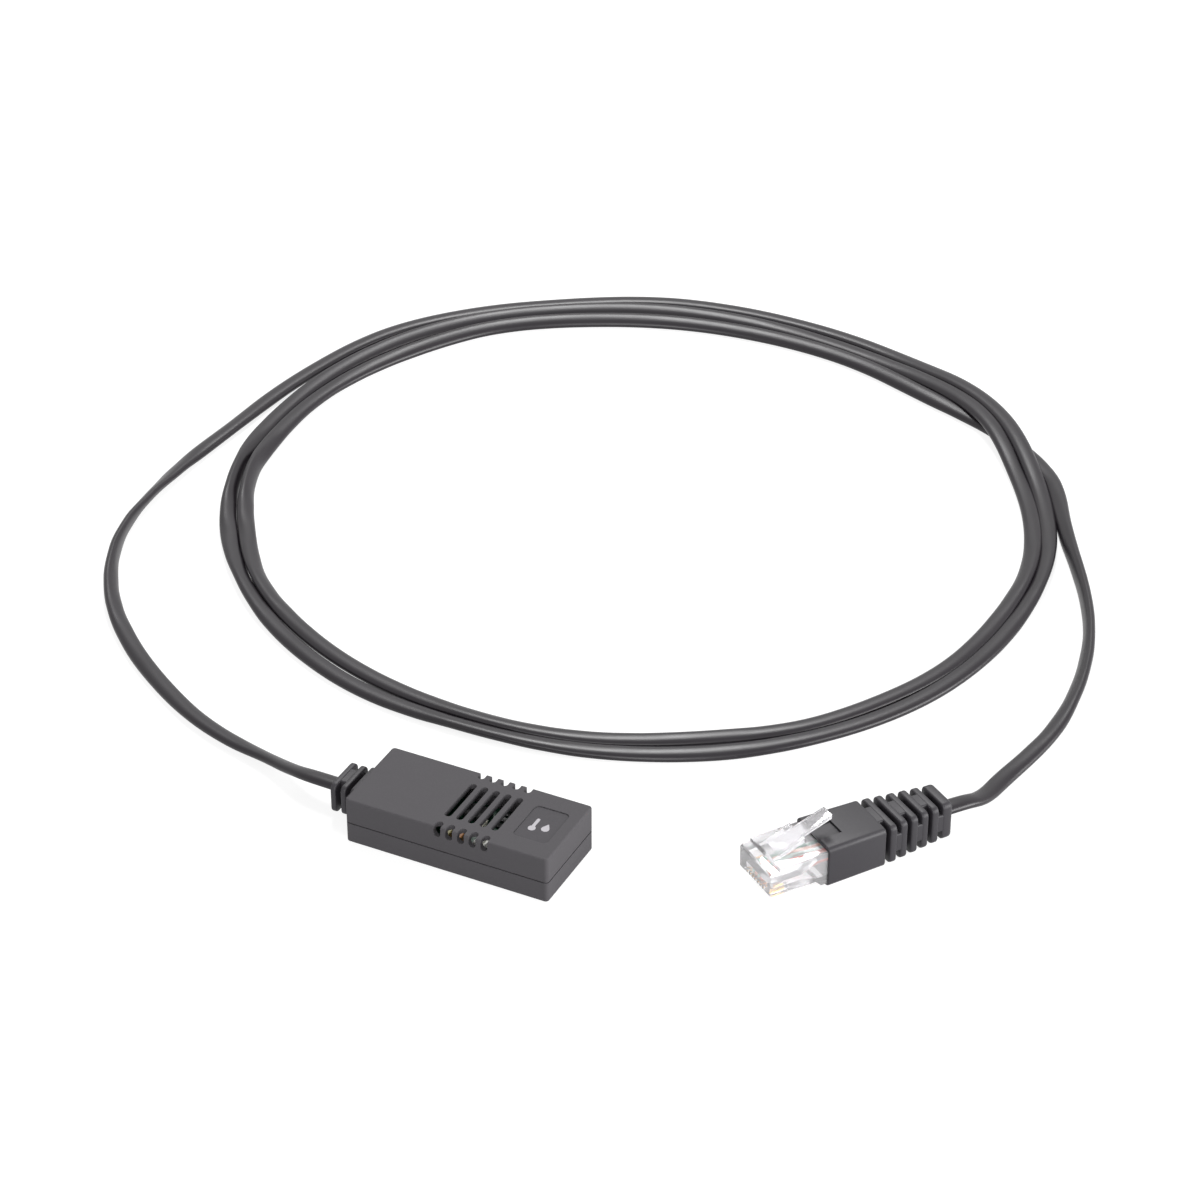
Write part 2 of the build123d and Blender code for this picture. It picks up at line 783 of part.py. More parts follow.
# Boot: a plain sleeve over the plug's rear half, ribs with gaps cut by turns from the sides and from above,
# and a rounded cap on the last rib
with BuildPart() as plug_boot:
    with BuildSketch(across_plug(boot_start, boot_tall / 2)):
        RectangleRounded(boot_width, boot_tall, boot_corner)
    with BuildSketch(across_plug(ribs_start, boot_rear_tall / 2)):
        RectangleRounded(boot_rear_width, boot_rear_tall, boot_corner)
    loft()
    for i in range(rib_count):
        share = i / (rib_count - 1)
        width = (boot_rear_width - rib_inset) * (1 - share) + rib_last_width * share
        tall = (boot_rear_tall - rib_inset / 2) * (1 - share) + rib_last_tall * share
        rib_start = ribs_start + rib_pitch * (i + 1) - rib_thickness
        add(rounded_slab(across_plug(rib_start, tall / 2), width, tall, rib_corner, rib_thickness, rib_edge))
        web_start = rib_start - (rib_pitch - rib_thickness) - rib_edge
        web_length = rib_pitch - rib_thickness + 2 * rib_edge
        web_width = bore_width + 2 * boot_side_skin if i % 2 == 0 else width - 2 * web_inset
        web_tall = tall - 2 * web_inset if i % 2 == 0 else bore_tall + 2 * boot_flat_skin
        add(plain_slab(across_plug(web_start, tall / 2), web_width, web_tall, web_length))
    with BuildSketch(across_plug(boot_end - rib_edge, rib_last_tall / 2)):
        RectangleRounded(rib_last_width, rib_last_tall, rib_corner)
    extrude(amount=end_cap + rib_edge)
    fillet(plug_boot.faces().filter_by(across_plug(boot_end, 0)).sort_by(plug_line)[-1].edges(), end_round)
    with BuildSketch(across_plug(boot_start, (plug_top + plug_rear_bottom) / 2)):
        Rectangle(plug_width + fit, plug_top - plug_rear_bottom + fit)
    extrude(amount=plug_length - boot_start, mode=Mode.SUBTRACT)
    with BuildSketch(across_plug(plug_length, cord_exit_height)):
        SlotOverall(bore_width, bore_tall)
    extrude(amount=boot_end + end_cap - plug_length, mode=Mode.SUBTRACT)
    with BuildSketch(plug_plan.offset(boot_tall - boot_cut_depth)):
        with Locations((boot_start + boot_cut_length / 2, 0)):
            Rectangle(boot_cut_length, boot_cut_width)
    extrude(amount=boot_cut_depth, mode=Mode.SUBTRACT)
plug_boot.part.label = "plug_boot"
export_step(plug_boot.part, "parts/plug_boot.step")
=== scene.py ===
"""A rack temperature sensor on its flat modular lead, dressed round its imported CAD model."""

import logging
import math
from collections.abc import Callable
from dataclasses import dataclass, field
from enum import Enum

import bmesh
import bpy
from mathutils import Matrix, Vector


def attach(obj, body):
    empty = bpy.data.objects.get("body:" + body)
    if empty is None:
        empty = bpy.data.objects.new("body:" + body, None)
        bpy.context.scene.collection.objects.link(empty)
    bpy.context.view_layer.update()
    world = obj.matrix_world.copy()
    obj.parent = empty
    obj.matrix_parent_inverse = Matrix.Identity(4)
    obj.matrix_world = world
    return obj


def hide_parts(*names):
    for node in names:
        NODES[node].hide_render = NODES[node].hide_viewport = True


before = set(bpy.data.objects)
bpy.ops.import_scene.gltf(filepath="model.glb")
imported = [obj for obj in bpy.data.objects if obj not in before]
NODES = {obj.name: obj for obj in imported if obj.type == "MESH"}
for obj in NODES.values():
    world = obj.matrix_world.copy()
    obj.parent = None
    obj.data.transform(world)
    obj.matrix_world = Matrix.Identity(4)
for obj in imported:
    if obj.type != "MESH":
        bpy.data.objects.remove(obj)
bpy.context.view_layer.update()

LOG = logging.getLogger("rack_sensor")
MM = 0.001
# In millimetres, less than any detail
HAIR = 0.01
WHITE = (1.0, 1.0, 1.0, 1.0)


def linear(colour: str) -> tuple[float, float, float, float]:
    """Turns an sRGB hex colour into the linear values that a shader takes.

    Args:
        colour: Six hex digits after a hash sign.

    Returns:
        Red, green, blue and a full alpha.
    """
    parts = [int(colour[i : i + 2], 16) / 255 for i in (1, 3, 5)]
    red, green, blue = (c / 12.92 if c <= 0.04045 else ((c + 0.055) / 1.055) ** 2.4 for c in parts)
    return red, green, blue, 1.0


def add_node(
    tree: bpy.types.NodeTree, kind: str, settings: dict | None = None, links: dict | None = None
) -> bpy.types.Node:
    """Adds a node with its settings and the links into it.

    Args:
        tree: The node tree that takes the node.
        kind: The node's type name.
        settings: Values by property name, or by input name or number.
        links: Output sockets by the name or number of the input that each feeds.

    Returns:
        The new node.
    """
    node = tree.nodes.new(kind)
    for key, value in (settings or {}).items():
        if isinstance(key, str) and hasattr(node, key):
            setattr(node, key, value)
        else:
            node.inputs[key].default_value = value
    for key, source in (links or {}).items():
        tree.links.new(source, node.inputs[key])
    return node


def new_material(name: str) -> tuple[bpy.types.Material, bpy.types.NodeTree]:
    """Makes a material with an empty node tree.

    Args:
        name: The finish's name.

    Returns:
        The material and its tree.
    """
    material = bpy.data.materials.new(name)
    material.use_nodes = True
    material.node_tree.nodes.clear()
    return material, material.node_tree


def finish_skin(
    tree: bpy.types.NodeTree,
    relief: tuple[bpy.types.NodeSocket, float, float],
    wear: tuple[bpy.types.NodeSocket, float, float],
    settings: dict,
    links: dict | None = None,
) -> None:
    """Ends a material with a shader whose relief and roughness follow textures.

    Args:
        tree: The material's node tree.
        relief: The texture of the relief, its depth in millimetres and its strength.
        wear: The texture of the roughness, its lowest value and its highest.
        settings: The shader's settings.
        links: The shader's other links.
    """
    texture, depth, strength = relief
    bump = add_node(tree, "ShaderNodeBump", {"Strength": strength, "Distance": depth * MM}, {"Height": texture})
    texture, lowest, highest = wear
    rough = add_node(tree, "ShaderNodeMapRange", {"To Min": lowest, "To Max": highest}, {"Value": texture})
    skin = {"Normal": bump.outputs[0], "Roughness": rough.outputs[0]}
    shader = add_node(tree, "ShaderNodeBsdfPrincipled", settings, {**skin, **(links or {})})
    add_node(tree, "ShaderNodeOutputMaterial", links={"Surface": shader.outputs[0]})


@dataclass(frozen=True)
class MouldedPolymer:
    """An opaque moulded polymer: an even colour, a fine tool texture and a little cloudiness.

    Attributes:
        name: Common name and finish.
        colour: sRGB hex colour.
        roughness: Typical roughness of the moulded skin.
        spread: How far the roughness strays from that.
        ior: Index of refraction.
        grain_mm: Size of the tool texture's pits.
        relief_mm: Depth of the pits.
        cloud_mm: Size of the faint colour clouds.
        shade: How much darker the darkest clouds are.
    """

    name: str
    colour: str
    roughness: float = 0.5
    spread: float = 0.06
    ior: float = 1.53
    grain_mm: float = 0.35
    relief_mm: float = 0.015
    cloud_mm: float = 6.0
    shade: float = 0.06

    def build(self) -> bpy.types.Material:
        """Builds the material.

        Returns:
            The material.
        """
        material, tree = new_material(self.name)
        place = add_node(tree, "ShaderNodeTexCoord").outputs["Object"]
        clouds, grain = (
            add_node(tree, "ShaderNodeTexNoise", {"Scale": 1 / (size * MM), "Detail": detail}, {"Vector": place})
            for size, detail in ((self.cloud_mm, 3.0), (self.grain_mm, 2.0))
        )
        full = linear(self.colour)
        dark = tuple(c * (1 - self.shade) for c in full[:3]) + (1.0,)
        mix = {"data_type": "RGBA", 6: dark, 7: full}
        colour = add_node(tree, "ShaderNodeMix", mix, {0: clouds.outputs["Fac"]})
        finish_skin(
            tree,
            (grain.outputs["Fac"], self.relief_mm, 0.5),
            (grain.outputs["Fac"], self.roughness - self.spread, self.roughness + self.spread),
            {"IOR": self.ior},
            {"Base Color": colour.outputs[2]},
        )
        return material


@dataclass(frozen=True)
class ExtrudedJacket:
    """A cord's extruded jacket: satin, with faint draw lines along it and slight waviness.

    Attributes:
        name: Common name and finish.
        colour: sRGB hex colour.
        roughness: Roughness of the drawn skin.
        spread: How far the roughness strays below and above that.
        ior: Index of refraction.
        line_mm: Spacing of the draw lines round the jacket.
        stretch: Share of a draw line's length that its width is.
        relief_mm: Depth of the draw lines.
        cloud_mm: Size of the faint colour clouds.
        shade: How much darker the darkest clouds are.
    """

    name: str
    colour: str
    roughness: float = 0.33
    spread: tuple[float, float] = (0.05, 0.08)
    ior: float = 1.42
    line_mm: float = 0.4
    stretch: float = 0.02
    relief_mm: float = 0.02
    cloud_mm: float = 12.0
    shade: float = 0.1

    def build(self) -> bpy.types.Material:
        """Builds the material on the cord's own map, in which X runs along it and Y round it, in metres.

        Returns:
            The material.
        """
        material, tree = new_material(self.name)
        flat = add_node(tree, "ShaderNodeUVMap", {"uv_map": "lay"}).outputs[0]
        stretched = add_node(tree, "ShaderNodeMapping", {"Scale": (self.stretch, 1.0, 1.0)}, {"Vector": flat})
        lines, clouds = (
            add_node(tree, "ShaderNodeTexNoise", {"Scale": 1 / (size * MM), "Detail": detail}, {"Vector": place})
            for size, detail, place in ((self.line_mm, 2.0, stretched.outputs[0]), (self.cloud_mm, 3.0, flat))
        )
        full = linear(self.colour)
        dark = tuple(c * (1 - self.shade) for c in full[:3]) + (1.0,)
        mix = {"data_type": "RGBA", 6: dark, 7: full}
        colour = add_node(tree, "ShaderNodeMix", mix, {0: clouds.outputs["Fac"]})
        finish_skin(
            tree,
            (lines.outputs["Fac"], self.relief_mm, 0.4),
            (clouds.outputs["Fac"], self.roughness - self.spread[0], self.roughness + self.spread[1]),
            {"IOR": self.ior},
            {"Base Color": colour.outputs[2]},
        )
        return material


@dataclass(frozen=True)
class ClearPolycarbonate:
    """Clear polycarbonate as it leaves the mould: slightly milky, with a faint flow ripple.

    Attributes:
        name: Common name and finish.
        tint: sRGB hex colour of the light that comes through.
        clear: Share of the light that goes through; the rest scatters white.
        roughness: Mean roughness of its skin.
        spread: How far the roughness strays from that.
        ior: Index of refraction.
        ripple_mm: Width of the flow ripples.
        ripple_depth_mm: Their depth.
    """

    name: str
    tint: str = "#FBFAFC"
    clear: float = 0.83
    roughness: float = 0.09
    spread: float = 0.04
    ior: float = 1.58
    ripple_mm: float = 2.5
    ripple_depth_mm: float = 0.05

    def build(self) -> bpy.types.Material:
        """Builds the material.

        Returns:
            The material.
        """
        material, tree = new_material(self.name)
        place = add_node(tree, "ShaderNodeTexCoord").outputs["Object"]
        scale = 1 / (self.ripple_mm * MM)
        ripple = add_node(tree, "ShaderNodeTexNoise", {"Scale": scale, "Detail": 1.0}, {"Vector": place})
        finish_skin(
            tree,
            (ripple.outputs["Fac"], self.ripple_depth_mm, 0.3),
            (ripple.outputs["Fac"], self.roughness - self.spread, self.roughness + self.spread),
            {"Base Color": linear(self.tint), "IOR": self.ior, "Transmission Weight": self.clear},
        )
        return material


@dataclass(frozen=True)
class PlatedMetal:
    """A plated or tinned metal with fine scratches.

    Attributes:
        name: Metal and finish.
        colour: sRGB hex colour of its reflection.
        roughness: Mean roughness.
        spread: How far the roughness strays from that.
        scratch_mm: Size of the scratches.
        depth_mm: Their depth.
    """

    name: str
    colour: str
    roughness: float = 0.28
    spread: float = 0.1
    scratch_mm: float = 0.3
    depth_mm: float = 0.01

    def build(self) -> bpy.types.Material:
        """Builds the material.

        Returns:
            The material.
        """
        material, tree = new_material(self.name)
        place = add_node(tree, "ShaderNodeTexCoord").outputs["Object"]
        scale = 1 / (self.scratch_mm * MM)
        marks = add_node(tree, "ShaderNodeTexNoise", {"Scale": scale, "Detail": 4.0}, {"Vector": place})
        finish_skin(
            tree,
            (marks.outputs["Fac"], self.depth_mm, 0.2),
            (marks.outputs["Fac"], self.roughness - self.spread, self.roughness + self.spread),
            {"Base Color": linear(self.colour), "Metallic": 1.0},
        )
        return material


class Finish(Enum):
    """The finishes of the object's pieces."""

    # ABS from a spark-eroded mould: matte, with an even fine texture
    HOUSING = MouldedPolymer("abs_spark_textured_grey", "#424043", roughness=0.75, ior=1.4)
    LABEL = MouldedPolymer(
        "polyester_label_film_matte", "#29262B", roughness=0.6, ior=1.4, grain_mm=0.25, relief_mm=0.004
    )
    LABEL_PRINT = MouldedPolymer("screen_print_pale_grey", "#A3A0A5", roughness=0.6, relief_mm=0.002)
    # Soft PVC over the cord: a little darker and smoother than the housing
    STRAIN_RELIEF = MouldedPolymer("soft_pvc_moulded_grey", "#2B292D", ior=1.4, grain_mm=0.5, relief_mm=0.01)
    BOOT = MouldedPolymer("soft_pvc_boot_grey", "#29272B", roughness=0.48, ior=1.4, grain_mm=0.5, relief_mm=0.01)
    JACKET = ExtrudedJacket("pvc_jacket_satin_grey", "#19151A")
    CLEAR = ClearPolycarbonate("polycarbonate_clear_moulded")
    GOLD = PlatedMetal("gold_plated_contact", "#E3B75E")
    TIN = PlatedMetal("tinned_solder_joint", "#C9CACD", roughness=0.35)
    GREEN = MouldedPolymer("polyethylene_insulation_green", "#2E9C78", roughness=0.35, relief_mm=0.003)
    ORANGE = MouldedPolymer("polyethylene_insulation_orange", "#E58A52", roughness=0.35, relief_mm=0.003)
    PALE_GREEN = MouldedPolymer("polyethylene_insulation_pale_green", "#BBD9CC", roughness=0.35, relief_mm=0.003)
    RED_ORANGE = MouldedPolymer("polyethylene_insulation_red_orange", "#E0562F", roughness=0.35, relief_mm=0.003)
    SOLDER_MASK = MouldedPolymer("solder_mask_green", "#184230", roughness=0.3, grain_mm=0.8, relief_mm=0.01)
    WHITE_CAP = MouldedPolymer("lcp_cap_white", "#E4E4DE")
    BEAD = MouldedPolymer("epoxy_bead_ivory", "#DAD6C8", roughness=0.3, relief_mm=0.004)
    TANTALUM = MouldedPolymer("moulded_case_orange", "#A06C3C")
    FILM_CASE = MouldedPolymer("moulded_case_yellow_green", "#8E8758")
    CHIP = MouldedPolymer("epoxy_package_black", "#1C1C1E", roughness=0.55)
    CERAMIC_BLACK = MouldedPolymer("glazed_ceramic_black", "#202022", roughness=0.3)
    CERAMIC_TAN = MouldedPolymer("barium_ceramic_tan", "#8F7458")

    def material(self) -> bpy.types.Material:
        """Gives the finish's material, made once."""
        found = bpy.data.materials.get(self.value.name)
        return found or self.value.build()


def dress(piece: bpy.types.Object, finish: Finish) -> None:
    """Puts one finish on the whole of a piece."""
    piece.data.materials.clear()
    piece.data.materials.append(finish.material())


def stand(data: bpy.types.ID, place: tuple[float, ...], aim: tuple[float, ...]) -> bpy.types.Object:
    """Puts a camera or a lamp in its place.

    Args:
        data: The camera or the lamp.
        place: Its position in metres.
        aim: The point that it faces.

    Returns:
        Its object.
    """
    thing = bpy.data.objects.new(data.name, data)
    bpy.context.scene.collection.objects.link(thing)
    thing.location = place
    thing.rotation_euler = (Vector(aim) - Vector(place)).to_track_quat("-Z", "Y").to_euler()
    return thing


@dataclass(frozen=True)
class Photographer:
    """The camera, where the photograph was taken from.

    Attributes:
        place: Camera position in metres.
        aim: The point in the middle of the picture.
        lens_mm: Focal length on the sensor below.
        sensor_mm: Width of the sensor.
        clip: The nearest and the farthest distance that it sees, in metres.
    """

    place: tuple[float, float, float] = (0.2866, -0.5158, 0.4481)
    aim: tuple[float, float, float] = (-0.0165, 0.0925, 0.0)
    lens_mm: float = 109.14
    sensor_mm: float = 36.0
    clip: tuple[float, float] = (0.01, 20.0)

    def build(self) -> None:
        """Builds the camera and makes it the scene's."""
        data = bpy.data.cameras.new("camera")
        data.lens = self.lens_mm
        data.sensor_width = self.sensor_mm
        data.clip_start, data.clip_end = self.clip
        bpy.context.scene.camera = stand(data, self.place, self.aim)


@dataclass(frozen=True)
class SoftBox:
    """A square area lamp.

    Attributes:
        name: The lamp's name.
        place: Its position in metres.
        aim: The point that it faces.
        size: Its side in metres.
        power: Its power in watts.
    """

    name: str
    place: tuple[float, float, float]
    aim: tuple[float, float, float]
    size: float
    power: float

    def build(self) -> None:
        """Builds the lamp."""
        data = bpy.data.lights.new(self.name, "AREA")
        data.size = self.size
        data.energy = self.power
        stand(data, self.place, self.aim)


@dataclass(frozen=True)
class Studio:
    """A white sweep under soft boxes.

    Attributes:
        floor_half: Half of the floor's side in metres.
        floor_drop: How far the floor lies under the object, so that their faces don't fight.
        floor_colour: sRGB hex colour of the paper.
        glow: How much of the white the camera sees without light, which keeps shadows faint.
        sky: Strength of the even light from all sides.
        boxes: The lamps.
    """

    floor_half: float = 3.0
    floor_drop: float = 0.02 * MM
    floor_colour: str = "#969696"
    glow: float = 0.8
    sky: float = 0.3
    boxes: tuple[SoftBox, ...] = (
        SoftBox("right_soft_box", (1.25, 0.2, 0.16), (0.0, 0.03, 0.0), 1.2, 42.0),
        SoftBox("top_soft_box", (-0.28, 0.66, 1.0), (-0.02, 0.08, 0.0), 0.38, 9.8),
        SoftBox("front_soft_box", (0.3, -1.05, 0.45), (-0.02, 0.05, 0.0), 0.9, 12.0),
    )

    def build(self) -> None:
        """Builds the world, the floor and the lamps."""
        self.world()
        self.floor()
        for box in self.boxes:
            box.build()

    def seen(self, tree: bpy.types.NodeTree) -> bpy.types.NodeSocket:
        """Tells rays from the camera, reflected rays and rays through clear pieces from the rest.

        Args:
            tree: The node tree that takes the nodes.

        Returns:
            A socket that gives 1 for those rays and 0 for the rest.
        """
        rays = add_node(tree, "ShaderNodeLightPath").outputs
        most = {"operation": "MAXIMUM"}
        bent = add_node(tree, "ShaderNodeMath", most, {0: rays["Is Glossy Ray"], 1: rays["Is Transmission Ray"]})
        return add_node(tree, "ShaderNodeMath", most, {0: rays["Is Camera Ray"], 1: bent.outputs[0]}).outputs[0]

    def world(self) -> None:
        """Makes an even world that is pure white to the camera and in reflections."""
        world = bpy.data.worlds.new("studio")
        bpy.context.scene.world = world
        world.use_nodes = True
        tree = world.node_tree
        tree.nodes.clear()
        ends = {"To Min": self.sky, "To Max": 1.0}
        strength = add_node(tree, "ShaderNodeMapRange", ends, {"Value": self.seen(tree)})
        shader = add_node(tree, "ShaderNodeBackground", {"Color": WHITE}, {"Strength": strength.outputs[0]})
        add_node(tree, "ShaderNodeOutputWorld", links={"Surface": shader.outputs[0]})

    def floor(self) -> None:
        """Makes the paper that everything lies on."""
        bpy.ops.mesh.primitive_plane_add(size=2 * self.floor_half, location=(0, 0, -self.floor_drop))
        floor = bpy.context.object
        floor.name = "paper_floor"
        material, tree = new_material("white_paper_sweep")
        paper = add_node(tree, "ShaderNodeBsdfDiffuse", {"Color": linear(self.floor_colour)})
        lift = add_node(tree, "ShaderNodeMath", {"operation": "MULTIPLY", 1: self.glow}, {0: self.seen(tree)})
        glow = add_node(tree, "ShaderNodeEmission", {"Color": WHITE}, {"Strength": lift.outputs[0]})
        both = add_node(tree, "ShaderNodeAddShader", links={0: paper.outputs[0], 1: glow.outputs[0]})
        add_node(tree, "ShaderNodeOutputMaterial", links={"Surface": both.outputs[0]})
        floor.data.materials.append(material)


@dataclass(frozen=True)
class Lane:
    """Where the cord lies at one angle of its coil.

    Attributes:
        angle: Degrees from +X, counted down as the cord runs on clockwise.
        outside: Distance outside the coil's middle line, in millimetres.
        roll: How far the flat cord is turned about its own line, in degrees, with its outer edge up.
        lift: How far it is held off the floor, in millimetres.
    """

    angle: float
    outside: float
    roll: float = 0.0
    lift: float = 0.0


@dataclass(frozen=True)
class RoutePoint:
    """A point of the cord's route.

    Attributes:
        x: Place along X in millimetres.
        y: Place along Y in millimetres.
        roll: How far the flat cord is turned about its own line, in degrees.
        lift: How far it is held off the floor, in millimetres.
    """

    x: float
    y: float
    roll: float = 0.0
    lift: float = 0.0


@dataclass
class FlatCord:
    """The flat cord, from the end of its jacket in the housing to its end in the plug.

    Attributes:
        width: Width of the flat section in millimetres.
        thickness: Its thickness.
        fullness: Exponent of its oval section: 2 is an ellipse, and more fills the shoulders.
        exit: Where it leaves the strain relief; not used.
        from_housing: Route from the housing to the coil, in which the cord takes half a twist.
        to_plug: Route from the coil into the plug, with the half twist counted in its rolls.
        half_twist: Degrees that the twist leaves the rest of the cord turned by.
        middle: The coil's middle in millimetres.
        mean_radius: Radius of the coil's middle line.
        ovality: How much longer and shorter than that its longest and shortest radii are.
        oval_angle: Where the longest radius points, in degrees.
        step: Degrees from one control point of the coil to the next.
        order: Order of the centreline's spline.
        fineness: Points on the centreline from one control point to the next.
        sides: Points round the section.
        lanes: How the turns lie in the coil.
    """

    width: float = 4.1
    thickness: float = 2.15
    fullness: float = 2.25
    exit: tuple[float, float, float] = (-29.6, 0.0, 4.95)
    from_housing: tuple[RoutePoint, ...] = (
        RoutePoint(-20.2, 0.0, lift=3.9), RoutePoint(-36.0, 0.0, 8.0, lift=3.9),
        RoutePoint(-43.5, 2.6, 20.0, lift=1.7), RoutePoint(-50.5, 5.5, 27.0, lift=0.1),
        RoutePoint(-61.0, 7.7, 14.0), RoutePoint(-72.0, 11.5, 10.0), RoutePoint(-82.9, 17.4, 2.0),
        RoutePoint(-94.9, 25.3, 0.0), RoutePoint(-103.7, 32.6, 8.0), RoutePoint(-110.6, 39.3, 28.0),
        RoutePoint(-117.1, 47.7, 48.0), RoutePoint(-123.0, 58.2, 74.0), RoutePoint(-126.9, 69.3, 98.0),
        RoutePoint(-128.9, 81.8, 128.0), RoutePoint(-129.7, 95.1, 158.0), RoutePoint(-129.5, 106.1, 176.0),
        RoutePoint(-128.4, 119.1, 172.0),
    )
    to_plug: tuple[RoutePoint, ...] = (
        RoutePoint(67.4, 163.2, 228.0), RoutePoint(74.6, 151.1, 246.0), RoutePoint(80.8, 140.2, 251.0),
        RoutePoint(86.5, 127.8, 249.0), RoutePoint(90.3, 114.8, 232.0), RoutePoint(92.4, 102.0, 220.0),
        RoutePoint(92.9, 89.0, 196.0), RoutePoint(91.4, 78.3, 184.0), RoutePoint(89.3, 67.6, 176.0, 0.1),
        RoutePoint(88.5, 58.6, 180.0, 0.9), RoutePoint(86.28, 52.39, 180.0, 3.35),
        RoutePoint(78.25, 40.92, 180.0, 3.35), RoutePoint(67.18, 25.11, 180.0, 3.35),
    )
    half_twist: float = 180.0
    middle: tuple[float, float] = (-25.4, 127.7)
    mean_radius: float = 93.0
    ovality: float = 2.45
    oval_angle: float = -24.9
    step: int = 6
    order: int = 3
    fineness: int = 6
    sides: int = 32
    lanes: tuple[Lane, ...] = (
        Lane(176, 7.4), Lane(172, 7.0), Lane(162, 7.3), Lane(155, 8.7), Lane(149, 8.8), Lane(140, 7.8),
        Lane(127, 6.5), Lane(120, 6.9), Lane(112, 7.8), Lane(100, 7.3), Lane(90, 6.8), Lane(72, 7.0),
        Lane(66, 6.5, lift=1.3), Lane(60, 7.1, lift=2.3), Lane(54, 6.9, lift=2.4), Lane(48, 6.1, lift=2.4),
        Lane(42, 4.5, lift=2.2), Lane(36, 3.6, lift=1.0), Lane(30, 3.2), Lane(24, 2.85), Lane(18, 2.55, 10),
        Lane(12, 2.2, 22), Lane(6, 1.6, 22), Lane(0, 1.2, 8), Lane(-6, 1.1), Lane(-14, 1.3), Lane(-24, 1.9),
        Lane(-42, 2.2), Lane(-51, 2.8, -10), Lane(-60, 2.5, -8), Lane(-72, 2.1), Lane(-80, 1.7, 12),
        Lane(-90, 1.5, 14), Lane(-96, 2.1), Lane(-104, 2.6), Lane(-120, 2.1), Lane(-127, 1.9, 8),
        Lane(-132, 1.7, 26), Lane(-138, 1.5, 28), Lane(-144, 1.4, 8), Lane(-150, 1.4), Lane(-156, 1.3, 35),
        Lane(-163, 1.3, 65), Lane(-168, 1.2, 50), Lane(-174, 1.3, 12), Lane(-182, 1.4), Lane(-196, 2.2, 14),
        Lane(-210, 3.2, 24), Lane(-222, 3.4, 24), Lane(-234, 2.6, 22), Lane(-248, 2.6, 22),
        Lane(-262, 2.2, 16), Lane(-276, 2.3), Lane(-288, 2.2, 12), Lane(-294, 2.6, 18, 0.6),
        Lane(-300, 2.9, 14, 1.4), Lane(-306, 3.1, 6, 2.2), Lane(-312, 2.2, lift=2.2),
        Lane(-318, 0.8, lift=1.3), Lane(-324, -0.1), Lane(-330, -0.45), Lane(-336, -0.75),
        Lane(-342, -0.95, 10), Lane(-348, -1.2, 25), Lane(-354, -1.8, 25), Lane(-360, -2.6, 8),
        Lane(-366, -2.65), Lane(-372, -2.5), Lane(-378, -2.15), Lane(-390, -2.6), Lane(-402, -1.9),
        Lane(-414, -2.9, -10), Lane(-420, -2.6, -8), Lane(-432, -2.0), Lane(-440, -2.1, 12),
        Lane(-450, -2.5, 12), Lane(-456, -2.4), Lane(-480, -2.3), Lane(-487, -2.1, 8), Lane(-492, -1.8, 26),
        Lane(-498, -2.0, 28), Lane(-504, -2.7, 8), Lane(-510, -2.8), Lane(-516, -2.5, 35),
        Lane(-523, -2.1, 65), Lane(-528, -2.1, 50), Lane(-534, -2.8, 12), Lane(-548, -2.3),
        Lane(-560, -2.6, 14), Lane(-570, -2.6, 24), Lane(-582, -1.3, 22), Lane(-594, -2.6, 24),
        Lane(-600, -3.0, 24), Lane(-624, -2.7, 18), Lane(-642, -1.9, 16), Lane(-655, -2.1, 20),
        Lane(-660, -0.9, 16), Lane(-666, 1.4, 8), Lane(-672, 3.9), Lane(-678, 6.0), Lane(-684, 7.3, 8),
        Lane(-690, 7.3, 26),
    )

    def height(self, place: RoutePoint) -> float:
        """Finds the height of the cord's middle, which its roll raises off the floor.

        Args:
            place: A point of the route.

        Returns:
            The height in millimetres.
        """
        half = self.thickness / 2
        return half + (self.width / 2 - half) * abs(math.sin(math.radians(place.roll))) + place.lift

    def lane(self, angle: float) -> Lane:
        """Finds how the cord lies at an angle, from the two listed places on either side of it.

        Args:
            angle: Degrees, counted down along the cord.

        Returns:
            How it lies there.
        """
        pairs = zip(self.lanes, self.lanes[1:])
        before, after = next((a, b) for a, b in pairs if a.angle >= angle >= b.angle)
        share = (before.angle - angle) / (before.angle - after.angle)
        return Lane(
            angle,
            before.outside + share * (after.outside - before.outside),
            before.roll + share * (after.roll - before.roll),
            before.lift + share * (after.lift - before.lift),
        )

    def coil(self) -> list[RoutePoint]:
        """Places the control points of the turns.

        Returns:
            A route point for each.
        """
        points = []
        angle = self.lanes[0].angle
        while angle >= self.lanes[-1].angle:
            lane = self.lane(angle)
            line = self.mean_radius + self.ovality * math.cos(math.radians(2 * (angle - self.oval_angle)))
            # A spline runs inside its control points by the cosine of half a step
            radius = (line + lane.outside) / math.cos(math.radians(self.step / 2))
            turned = math.radians(angle)
            points.append(
                RoutePoint(
                    self.middle[0] + radius * math.cos(turned),
                    self.middle[1] + radius * math.sin(turned),
                    self.half_twist + lane.roll,
                    lane.lift,
                )
            )
            angle -= self.step
        return points

